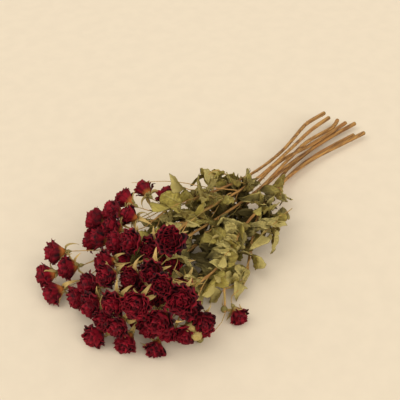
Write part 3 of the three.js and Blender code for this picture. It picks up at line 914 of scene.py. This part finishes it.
def bare_hip_plan():
    """A ribbed and lumpy round hip, puckered at its end."""
    plan = Plan("Bare hip", {"Size": float, "Seed": int, "Sepal": "material"})
    size, seed = plan.given("Size"), plan.given("Seed")
    body = plan.add("GeometryNodeMeshUVSphere", Segments=42, Rings=16, Radius=0.5)
    x, y, z = plan.coordinates()
    pucker = 1.0 - z.step(0.36, 0.5) * 0.22
    ribs = (y.math("ARCTAN2", x) * BARE_HIP_RIBS).sin() * 0.06 + 1.0
    wide, high = ribs * size, (z * pucker + 0.5) * size
    mesh = plan.place(body.outputs["Mesh"], plan.vector(x * wide, y * wide, high))
    mesh = plan.crumpled(mesh, 300.0, seed * 0.9, size * 0.22)
    mesh = plan.store(mesh, "v", z * 0.5 + 0.45)
    mesh = plan.store(mesh, "tone", 0.3)
    return plan.finish(plan.coat(mesh, "Sepal"))


def cleared(centre, radius, taken):
    """Moves a small bloom out of the blooms that are already there, and keeps it above the floor."""
    for _ in range(CLEARING_STEPS):
        for other, other_radius in taken:
            gap = centre - other
            wanted = (radius + other_radius) * BLOOM_ROOM
            if gap.length < wanted:
                centre = other + gap.normalized() * (gap.length * 0.7 + wanted * 0.3)
        centre.z = max(centre.z, radius * 0.95)
    return centre


def stalk_plan():
    """A thin stalk that follows a curve."""
    plan = Plan("Young stalk", {"Radius": float, "Bark": "material"})
    line = plan.add("GeometryNodeMeshToCurve", Mesh=plan.source.outputs["Geometry"])
    tube = plan.tube(line.outputs[0], 7, plan.given("Radius"))
    return plan.finish(plan.coat(tube, "Bark"))


def stalk_mesh(name, tree, bark, joint, foot, axis):
    """A stalk from where it leaves its stem to the foot of its bloom."""
    reach = (foot - joint).length * STALK_EASE
    along_stem = Vector((1, 0, 0))
    handles = (joint, joint + along_stem * reach, foot - axis * reach, foot + axis * MM)
    points = [bezier(handles, i / STALK_STEPS) for i in range(STALK_STEPS + 1)]
    route = bpy.data.meshes.new(name)
    route.from_pydata(points, [(i, i + 1) for i in range(STALK_STEPS)], [])
    return grown(name, tree, {"Radius": STALK_RADIUS, "Bark": bark}, start=route)


def bezier(handles, t):
    weights = ((1 - t) ** 3, 3 * t * (1 - t) ** 2, 3 * t * t * (1 - t), t**3)
    return sum((handle * weight for handle, weight in zip(handles, weights)), Vector())


def facing(foot, axis):
    """The matrix that stands a bloom on its foot, facing along the axis."""
    turn = Vector((0, 0, 1)).rotation_difference(axis).to_matrix().to_4x4()
    return Matrix.Translation(foot) @ turn


def joined(name, meshes):
    """Several meshes as one."""
    parts = []
    for mesh in meshes:
        part = bpy.data.objects.new(name, mesh)
        bpy.context.scene.collection.objects.link(part)
        parts.append(part)
    first = {"active_object": parts[0], "object": parts[0]}
    chosen = {"selected_objects": parts, "selected_editable_objects": parts}
    with bpy.context.temp_override(**first, **chosen):
        bpy.ops.object.join()
    whole = parts[0].data
    bpy.data.objects.remove(parts[0])
    whole.name = name
    return whole


# ---------------------------------------------------------------- leaves

LEAFLET_GRID = (9, 13)  # points across and along a leaflet
PACKED_LEAFLETS = 5
PACKED_LEAF_SCALE = 0.95
PACKED_LEAF_SEED = 40


def leaf_plan():
    """A leaf stalk with leaflets in pairs and one at its end, each folded, curled and crumpled."""
    plan = Plan(
        "Dried leaf",
        {
            "Length": float,
            "Leaflets": int,
            "Leaflet length": float,
            "Leaflet width": float,
            "Leaflet thickness": float,
            "Stalk radius": float,
            "Crumple": float,
            "Seed": int,
            "Leaf": "material",
            "Stalk": "material",
        },
    )
    seed = plan.given("Seed")
    leaflets = plan.coat(leaflet_shells(plan, seed), "Leaf")
    stalk = plan.coat(leaf_stalk(plan, seed), "Stalk")
    return plan.finish(plan.join(leaflets, stalk))


def stalk_height(plan, share, seed):
    """How far a leaf's stalk bows above the straight line from its foot."""
    bow = plan.chance(0, seed + 3, 0.02, 0.09)
    return (share * math.pi).sin() * bow * plan.given("Length")


def stalk_end(plan):
    """How far along the leaf its end leaflet starts."""
    return plan.given("Length") - plan.given("Leaflet length") * 0.92


def leaf_stalk(plan, seed):
    """The stalk that carries the leaflets."""
    line = plan.add("GeometryNodeCurvePrimitiveLine")
    line.inputs["Start"].default_value = (0, 0, 0)
    line.inputs["End"].default_value = (1, 0, 0)
    points = plan.add("GeometryNodeResampleCurve", Curve=line.outputs[0], Count=9)
    share, _, _ = plan.coordinates()
    place = plan.vector(share * stalk_end(plan), 0.0, stalk_height(plan, share, seed))
    bowed = plan.place(points.outputs[0], place)
    return plan.tube(bowed, 6, plan.given("Stalk radius"))


def leaflet_shells(plan, seed):
    """Leaflet 0 stands at the end of the stalk, and the others in pairs behind it, one on each side."""
    sheets = plan.sheets(plan.given("Leaflets"), *LEAFLET_GRID)
    order, u, v = (plan.attribute(name) for name in ("order", "u", "v"))
    luck = [plan.chance(order, seed + 11 * i) for i in range(9)]
    side = (order.math("MODULO", 2.0) * 2.0 - 1.0) * order.math("GREATER_THAN", 0.5)
    rank = ((order + 1.0) * 0.5).math("FLOOR")
    pairs = ((plan.given("Leaflets") - 1.0) * 0.5).at_least(1.0)
    share = 1.0 - rank / (pairs + 0.35) * 0.92
    length = plan.given("Leaflet length") * (1.0 - rank * 0.08) * (luck[0] * 0.45 + 0.72)
    width = plan.given("Leaflet width") * (1.0 - rank * 0.07) * (luck[1] * 0.5 + 0.78)

    # Its outline is oval with fine teeth, and its halves fold up along the midrib.
    outline = (v**0.80 * math.pi).sin() ** 0.72 * (1.0 - v * 0.10)
    teeth = (v * 62.0).sin() * u.size().step(0.7, 1.0) * 0.035 + 1.0
    fold = luck[2] * 1.1 + 0.12
    half = width * 0.5 * outline * teeth
    lateral = half * u * fold.cos()
    raised = half * (u.size() * fold.sin() + u**2.0 * (luck[8] - 0.4) * 1.2)

    # It arches along its length and twists towards its tip.
    bend = (luck[3] - 0.35) * 2.6
    arc = bend * v * 0.5
    forward = length * v * arc.cos() - raised * arc.sin()
    height = raised * arc.cos() - length * v * arc.sin() * 0.9
    twist = (luck[4] - 0.5) * 2.6 * v
    y = lateral * twist.cos() - height * twist.sin() * 0.6
    z = height + lateral * twist.sin()

    # It swings out from the stalk and droops.
    swing = side * (luck[5] * 0.5 + 0.55) + (luck[6] - 0.5) * 0.5
    droop = (luck[7] - 0.3) * 1.0
    tip = forward * droop.cos() + z * droop.sin()
    z = z * droop.cos() - forward * droop.sin()
    hang = z - y * side * 0.5
    x = stalk_end(plan) * share + tip * swing.cos() - y * swing.sin()
    across = tip * swing.sin() + y * swing.cos()
    place = plan.vector(x, across, hang + stalk_height(plan, share, seed))
    sheets = plan.place(sheets, place)
    crumple = plan.given("Crumple")
    sheets = plan.crumpled(sheets, 62.0, seed * 0.31 + order * 0.7, crumple * (u.size() + v * 1.2))
    sheets = plan.crumpled(sheets, 240.0, seed * 0.17 + order * 0.3, crumple * 0.5)
    tone = luck[1] * 0.8 + plan.chance(0, seed + 5) * 0.6 - 0.2
    sheets = plan.store(sheets, "tone", tone.share())
    return plan.shell(sheets, plan.given("Leaflet thickness"))


class LeafMaker:
    """Grows compound leaves on the same plan, each from its own seed."""

    def __init__(self, scene):
        self.sizes = scene.rose_leaves
        self.tree = leaf_plan()
        self.leaf = leaf_finish(scene.rose_colours)
        self.stalk = bark_finish(scene.rose_colours)

    def leaf_mesh(self, name, seed, length, leaflets, scale, place):
        sizes = self.sizes
        values = {
            "Length": length,
            "Leaflets": leaflets,
            "Leaflet length": sizes.leaflet_length * scale,
            "Leaflet width": sizes.leaflet_width * scale,
            "Leaflet thickness": sizes.leaflet_thickness,
            "Stalk radius": sizes.stalk_radius,
            "Crumple": sizes.crumple * scale,
            "Seed": seed,
            "Leaf": self.leaf,
            "Stalk": self.stalk,
        }
        mesh = grown(name, self.tree, values)
        mesh.transform(place)
        return mesh


class ROSES_OT_leaves(bpy.types.Operator):
    """Grow a compound leaf where each packed leaf is"""

    bl_idname = "roses.grow_leaves"
    bl_label = "Grow the leaves"

    def execute(self, context):
        maker = LeafMaker(context.scene)
        stems = tree_of(STEMS)
        for seed, node in enumerate(LEAVES, PACKED_LEAF_SEED):
            space = LeafSpace(node, stems)
            sizes = (space.length, PACKED_LEAFLETS, PACKED_LEAF_SCALE)
            mesh = maker.leaf_mesh(f"rose_{node}", seed, *sizes, space.matrix())
            as_piece(mesh.name, mesh, node)
        return {"FINISHED"}


LEAFY_FROM = -30 * MM  # the first small leaves, just past the waist
LEAFY_TO = 150 * MM  # the last ones, among the flower stalks
LEAF_REACH = 60 * MM  # how far to the side a small leaf may reach, half way along the bunch
LEAF_SPREAD = 0.16  # how much wider they may reach for each length further towards the blooms
LEAF_LOW, LEAF_TOP = 8 * MM, 72 * MM  # how low and how high the tip of a small leaf may be
MOST_LEAN = 0.75  # how far a small leaf may turn outwards from its stem
STRAY = 0.35  # how far it may turn any other way
MOST_ROLL = 0.9  # how far it may roll about its stalk, in radians
LEAF_TRIES = 110  # places tried for each small leaf
BLOOM_GAP = 18 * MM  # more room than this to the blooms is no better
LEAF_GAP = 14 * MM  # and the same to other leaves
HIDING_COST = 26 * MM  # the room that outweighs hiding one point of a stem or a bloom
SCATTER_SEED = 7
SMALL_LEAF_SEED = 200
SMALL_LEAF_SCALES = (0.7, 1.2)  # the smallest and the largest, as shares of a full leaflet
SMALL_LEAF_LENGTHS = (1.7, 2.5)  # the shortest and the longest, in lengths of its own leaflets
LEAFLET_COUNTS = (3, 5, 5)
HEAD_AXIS = Vector((0, 0, 66)) * MM  # the line along X that small leaves lean away from
FACING_UP = Vector((0, 0, 0.8))  # how much a leaf turns its upper side up, against outwards
SHOWN_TO = Vector((0.59, 0.53, 0.62))  # the side to which the bunch shows its stems and blooms
HALF_LEAF = 9 * MM  # half of the width over which a small leaf spreads

# Places over which a small leaf spreads, each (x, y, z) in millimetres.
LEAF_SPOTS = (
    (86, 23, 38), (114, 48, 44), (42, 66, 20), (0, 38, 20), (24, 29, 32), (88, 71, 18), (141, 57, 25),
    (124, 64, 26), (106, 76, 14), (150, 40, 32), (120, 30, 34), (134, -38, 44),
)


class ROSES_OT_small_leaves(bpy.types.Operator):
    """Fill the bunch with the smaller leaves of each stem"""

    bl_idname = "roses.grow_small_leaves"
    bl_label = "Grow the small leaves"

    def execute(self, context):
        maker = LeafMaker(context.scene)
        chance = random.Random(SCATTER_SEED)
        blooms, stems = tree_of(BLOOMS), tree_of(STEMS)
        rods = {node: stem_points(node) for node in STEMS}
        filled = [Vector(point) for node in LEAVES for point in corners(node)[::6]]
        leaves = {node: [] for node in STEMS}
        for number in range(maker.sizes.extra):
            node = STEMS[number % len(STEMS)]
            scale = chance.uniform(*SMALL_LEAF_SCALES)
            length = maker.sizes.leaflet_length * scale * chance.uniform(*SMALL_LEAF_LENGTHS)
            if number < len(LEAF_SPOTS):
                spot = Vector(LEAF_SPOTS[number]) * MM
                place = self.place_through(chance, stems, spot, length)
            else:
                place = self.best_place(chance, rods[node], length, (blooms, stems), filled)
            sizes = (length, chance.choice(LEAFLET_COUNTS), scale)
            mesh = maker.leaf_mesh(f"leaf_{number}", SMALL_LEAF_SEED + number, *sizes, place)
            leaves[node].append(mesh)
            filled += [place @ Vector((length * share, 0, 0)) for share in (0.35, 0.65, 1.0)]
        for node, meshes in leaves.items():
            whole = joined(f"rose_small_leaves_{node[-2:]}", meshes)
            as_piece(whole.name, whole)
        return {"FINISHED"}

    def best_place(self, chance, points, length, trees, filled):
        """Of several random places on a stem, the one that is most open and hides the least."""
        blooms, _ = trees
        best, best_room = None, -math.inf
        for _ in range(LEAF_TRIES):
            foot = Vector(chance.choice(points))
            outward = foot - HEAD_AXIS
            outward.x = 0
            lean = outward.normalized() * chance.uniform(0.0, MOST_LEAN)
            stray = Vector([chance.uniform(-STRAY, STRAY) for _ in range(3)])
            heading = (Vector((1, 0, 0)) + lean + stray).normalized()
            tip = foot + heading * length
            reach = LEAF_REACH + tip.x * LEAF_SPREAD
            if not LEAF_LOW < tip.z < LEAF_TOP or abs(tip.y) > reach:
                continue
            middle = foot.lerp(tip, 0.7)
            bloom_room = min(blooms.find_nearest(p)[3] for p in (tip, middle))
            leaf_room = min((middle - other).length for other in filled)
            hidden = self.hidden_by(foot, tip, heading, trees)
            room = min(bloom_room, BLOOM_GAP) + min(leaf_room, LEAF_GAP) - hidden * HIDING_COST
            if room > best_room:
                up = (outward.normalized() + FACING_UP + stray).normalized()
                roll = chance.uniform(-MOST_ROLL, MOST_ROLL)
                best, best_room = self.frame_at(foot, heading, up, roll), room
        return best

    def hidden_by(self, foot, tip, heading, trees):
        """How many blooms and stems lie behind the points over which a leaf spreads."""
        aside = SHOWN_TO.cross(heading).normalized() * HALF_LEAF
        middles = [foot.lerp(tip, share) for share in (0.5, 0.75, 1.0)]
        points = [middle + aside * way for middle in middles for way in (-1, 0, 1)]
        return sum(tree.ray_cast(p, -SHOWN_TO)[0] is not None for tree in trees for p in points)

    def place_through(self, chance, stems, spot, length):
        """A place on the nearest stem from which a leaf of this length spreads over the spot."""
        foot = stems.find_nearest(spot - Vector((length * 0.75, 0, 0)))[0]
        outward = Vector((0, spot.y, spot.z - HEAD_AXIS.z))
        up = (outward.normalized() + FACING_UP).normalized()
        return self.frame_at(foot, (spot - foot).normalized(), up, chance.uniform(-0.5, 0.5))

    def frame_at(self, foot, heading, up, roll):
        side = up.cross(heading).normalized()
        turn = Matrix((heading, side, heading.cross(side))).transposed().to_4x4()
        return Matrix.Translation(foot) @ turn @ Matrix.Rotation(roll, 4, "X")


def stem_points(node):
    """Points of a packed stem where small leaves can grow."""
    return [p for p in corners(node) if LEAFY_FROM < p[0] < LEAFY_TO]


# ---------------------------------------------------------------- stems

RAY_START = 0.15 * MM  # how far under the skin its girth is measured from
WIDEST_GIRTH = 20 * MM
GIRTH_BLUR = 12
GRAIN_SCALE = 420.0
GRAIN_STRETCH = 0.14  # the grain's scale along the bunch, as a share of its scale across
SKIN_SMOOTHING = 3


def stem_plan():
    """Bark over a packed stem: its girth measured, then thickness, grain and prickles."""
    plan = Plan(
        "Rose stem",
        {
            "Bark thickness": float,
            "Grain": float,
            "Prickle length": float,
            "Prickles": float,
            "Seed": int,
            "Bark": "material",
        },
    )
    seed = plan.given("Seed")
    skin = plan.source.outputs["Geometry"]
    girth = plan.attribute("girth")
    evened = girth_stored(plan, skin)
    x, y, z = plan.coordinates()
    lengthwise = plan.vector(x * GRAIN_STRETCH, y, z)
    settings = {"noise_dimensions": "4D"}
    looks = {"Scale": GRAIN_SCALE, "Detail": 2.0, "W": seed * 0.7}
    grain = plan.add("ShaderNodeTexNoise", settings, Vector=lengthwise, **looks)
    relief = (plan.number(grain, "Fac") - 0.5) * plan.given("Grain") * 2.0
    depth = relief * girth.step(1.2 * MM, 4.0 * MM)
    thick = plan.given("Bark thickness") * girth.step(3.0 * MM, 4.6 * MM)
    barked = plan.shift(evened, plan.scaled(plan.normal(), depth + thick))
    prickles = prickles_on(plan, barked, girth, seed)
    return plan.finish(plan.coat(plan.join(barked, prickles), "Bark"))


def girth_stored(plan, skin):
    """The skin with its girth on it: how far it is from each point through to the other side."""
    just_inside = plan.add("ShaderNodeVectorMath", {"operation": "ADD"})
    connect(plan.tree, plan.spot(), just_inside.inputs[0])
    connect(plan.tree, plan.scaled(plan.normal(), -RAY_START), just_inside.inputs[1])
    ray = plan.add(
        "GeometryNodeRaycast",
        {"data_type": "FLOAT"},
        Target_Geometry=skin,
        Source_Position=just_inside.outputs[0],
        Ray_Direction=plan.scaled(plan.normal(), -1.0),
        Ray_Length=WIDEST_GIRTH,
    )
    measured = plan.store(skin, "girth", plan.number(ray, "Hit Distance"))
    settings = {"data_type": "FLOAT"}
    girth = plan.attribute("girth")
    blur = plan.add("GeometryNodeBlurAttribute", settings, Value=girth, Iterations=GIRTH_BLUR)
    return plan.store(measured, "girth", plan.number(blur))


def prickles_on(plan, bark, girth, seed):
    """Small hooked thorns that stand out of the thicker bark."""
    settings = {"distribute_method": "RANDOM"}
    spread = plan.add("GeometryNodeDistributePointsOnFaces", settings, Mesh=bark, Seed=seed)
    woody = girth.step(2.4 * MM, 3.4 * MM)
    per_square_metre = plan.given("Prickles") * 100**2
    density = next(s for s in spread.inputs if s.name == "Density" and s.enabled)
    connect(plan.tree, woody * per_square_metre, density)
    sizes = {"Radius_Top": 0.0, "Radius_Bottom": 0.34, "Depth": 1.0}
    thorn = plan.add("GeometryNodeMeshCone", Vertices=6, Side_Segments=3, **sizes)
    x, y, z = plan.coordinates()
    hooked = plan.place(thorn.outputs["Mesh"], plan.vector(x + z * z * 0.35, y * 0.6, z - 0.12))
    hooked = plan.store(hooked, "girth", WOODY_GIRTH)
    length = plan.given("Prickle length") * plan.chance(plan.index(), seed + 9, 0.4, 1.0)
    copies = plan.add(
        "GeometryNodeInstanceOnPoints",
        Points=spread.outputs["Points"],
        Instance=hooked,
        Rotation=spread.outputs["Rotation"],
        Scale=length,
    )
    return plan.add("GeometryNodeRealizeInstances", Geometry=copies.outputs[0]).outputs[0]


def skinned(node, step):
    """A packed stem as one even, rounded skin."""
    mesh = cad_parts[node].data.copy()
    shape = bmesh.new()
    shape.from_mesh(mesh)
    bmesh.ops.remove_doubles(shape, verts=shape.verts, dist=SAME_PLACE)
    shape.to_mesh(mesh)
    shape.free()
    mesh.materials.clear()
    carrier = bpy.data.objects.new(node, mesh)
    bpy.context.scene.collection.objects.link(carrier)
    remesh = carrier.modifiers.new("Skin", "REMESH")
    remesh.mode = "VOXEL"
    remesh.voxel_size = step
    smooth = carrier.modifiers.new("Even", "SMOOTH")
    smooth.factor = 0.5
    smooth.iterations = SKIN_SMOOTHING
    graph = bpy.context.evaluated_depsgraph_get()
    skin = bpy.data.meshes.new_from_object(carrier.evaluated_get(graph), depsgraph=graph)
    bpy.data.objects.remove(carrier)
    return skin


class ROSES_OT_stems(bpy.types.Operator):
    """Give each stem its bark, grain and prickles"""

    bl_idname = "roses.grow_stems"
    bl_label = "Grow the stems"

    def execute(self, context):
        sizes, colours = context.scene.rose_stems, context.scene.rose_colours
        tree = stem_plan()
        bark = bark_finish(colours)
        for number, node in enumerate(STEMS):
            values = {
                "Bark thickness": sizes.bark,
                "Grain": sizes.grain,
                "Prickle length": sizes.prickle_length,
                "Prickles": sizes.prickles,
                "Seed": number + 1,
                "Bark": bark,
            }
            mesh = grown(f"rose_{node}", tree, values, start=skinned(node, sizes.skin))
            as_piece(f"rose_{node}", mesh, node)
        return {"FINISHED"}


# ---------------------------------------------------------------- stage


def towards(azimuth, elevation):
    """The direction from what is looked at to the eye, for an eye that looks along +Y at azimuth 0."""
    level = math.cos(elevation)
    return Vector((math.sin(azimuth) * level, -math.cos(azimuth) * level, math.sin(elevation)))


def aimed(item, place, target):
    """Puts a light or the camera at a place, turned to its target."""
    item.location = place
    item.rotation_euler = (target - place).to_track_quat("-Z", "Y").to_euler()
    bpy.context.scene.collection.objects.link(item)


# Each light's turn to the right of the camera and its height in degrees, and its power.
LIGHTS = {"key": (-70, 55, 1.05), "fill": (25, 36, 1.55)}
LIGHT_SPREAD = math.radians(55)
WARM_WHITE = (1.0, 0.98, 0.95)
ROOM_LIGHT = 0.6
LIT_POINT = Vector((0, 0, 40)) * MM
LOOKED_AT = Vector((5.6, -72.7, 0)) * MM
FILM_WIDTH = 36
FARTHEST_SEEN = 100


def sun_light(name, azimuth, height, power):
    """A very soft light from far away, so that it is even over the floor."""
    light = bpy.data.lights.new(name, "SUN")
    light.energy = power
    light.angle = LIGHT_SPREAD
    light.color = WARM_WHITE
    place = LIT_POINT + towards(azimuth, height)
    aimed(bpy.data.objects.new(name, light), place, LIT_POINT)


class ROSES_OT_stage(bpy.types.Operator):
    """Lay the floor, light it softly and set the camera"""

    bl_idname = "roses.set_stage"
    bl_label = "Set the stage"

    def execute(self, context):
        stage = context.scene.rose_stage
        self.lay_floor(stage)
        for name, (turn, height, power) in LIGHTS.items():
            sun_light(name, stage.azimuth + math.radians(turn), math.radians(height), power)
        world = bpy.data.worlds.new("room")
        world.use_nodes = True
        air = world.node_tree.nodes["Background"]
        air.inputs["Color"].default_value = (*WARM_WHITE, 1)
        air.inputs["Strength"].default_value = ROOM_LIGHT
        context.scene.world = world
        context.scene.view_settings.view_transform = "Standard"
        lens = bpy.data.cameras.new("camera")
        lens.lens = stage.lens
        lens.sensor_width = FILM_WIDTH
        lens.clip_end = FARTHEST_SEEN
        eye = bpy.data.objects.new("camera", lens)
        place = LOOKED_AT + towards(stage.azimuth, stage.elevation) * stage.distance
        aimed(eye, place, LOOKED_AT)
        context.scene.camera = eye
        return {"FINISHED"}

    def lay_floor(self, stage):
        half = stage.floor_size / 2
        mesh = bpy.data.meshes.new("floor")
        rim = [(-half, -half, 0), (half, -half, 0), (half, half, 0), (-half, half, 0)]
        mesh.from_pydata(rim, [], [(0, 1, 2, 3)])
        finish = Finish("paper_floor", Roughness=0.9)
        grain = finish.noise(40, 3.0)
        paler = [min(1.0, channel * 1.03) for channel in stage.floor]
        finish.colour(finish.mix(grain.step(0.3, 0.7), stage.floor, paler))
        mesh.materials.append(finish.material)
        floor = bpy.data.objects.new("floor", mesh)
        bpy.context.scene.collection.objects.link(floor)


# ---------------------------------------------------------------- panel and registration


class ROSES_PT_sidebar(bpy.types.Panel):
    """The bunch's sizes and colours, and the steps that build it"""

    bl_label = "Dried roses"
    bl_idname = "ROSES_PT_sidebar"
    bl_space_type = "VIEW_3D"
    bl_region_type = "UI"
    bl_category = "Dried roses"

    def draw(self, context):
        for operator in OPERATORS:
            self.layout.operator(operator.bl_idname)
        for attribute, group in SETTINGS.items():
            box = self.layout.box()
            for key in group.__annotations__:
                box.prop(getattr(context.scene, attribute), key)


OPERATORS = (
    ROSES_OT_stage,
    ROSES_OT_stems,
    ROSES_OT_leaves,
    ROSES_OT_small_leaves,
    ROSES_OT_blooms,
    ROSES_OT_small_blooms,
    ROSES_OT_bare_hips,
)
CLASSES = (*SETTINGS.values(), *OPERATORS, ROSES_PT_sidebar)


def register():
    for item in CLASSES:
        bpy.utils.register_class(item)
    for attribute, group in SETTINGS.items():
        setattr(bpy.types.Scene, attribute, bpy.props.PointerProperty(type=group))


def unregister():
    for attribute in SETTINGS:
        delattr(bpy.types.Scene, attribute)
    for item in reversed(CLASSES):
        bpy.utils.unregister_class(item)


def main():
    register()
    bpy.ops.roses.set_stage()
    bpy.ops.roses.grow_stems()
    bpy.ops.roses.grow_leaves()
    bpy.ops.roses.grow_small_leaves()
    bpy.ops.roses.grow_blooms()
    bpy.ops.roses.grow_small_blooms()
    bpy.ops.roses.grow_bare_hips()


if __name__ == "__main__":
    main()
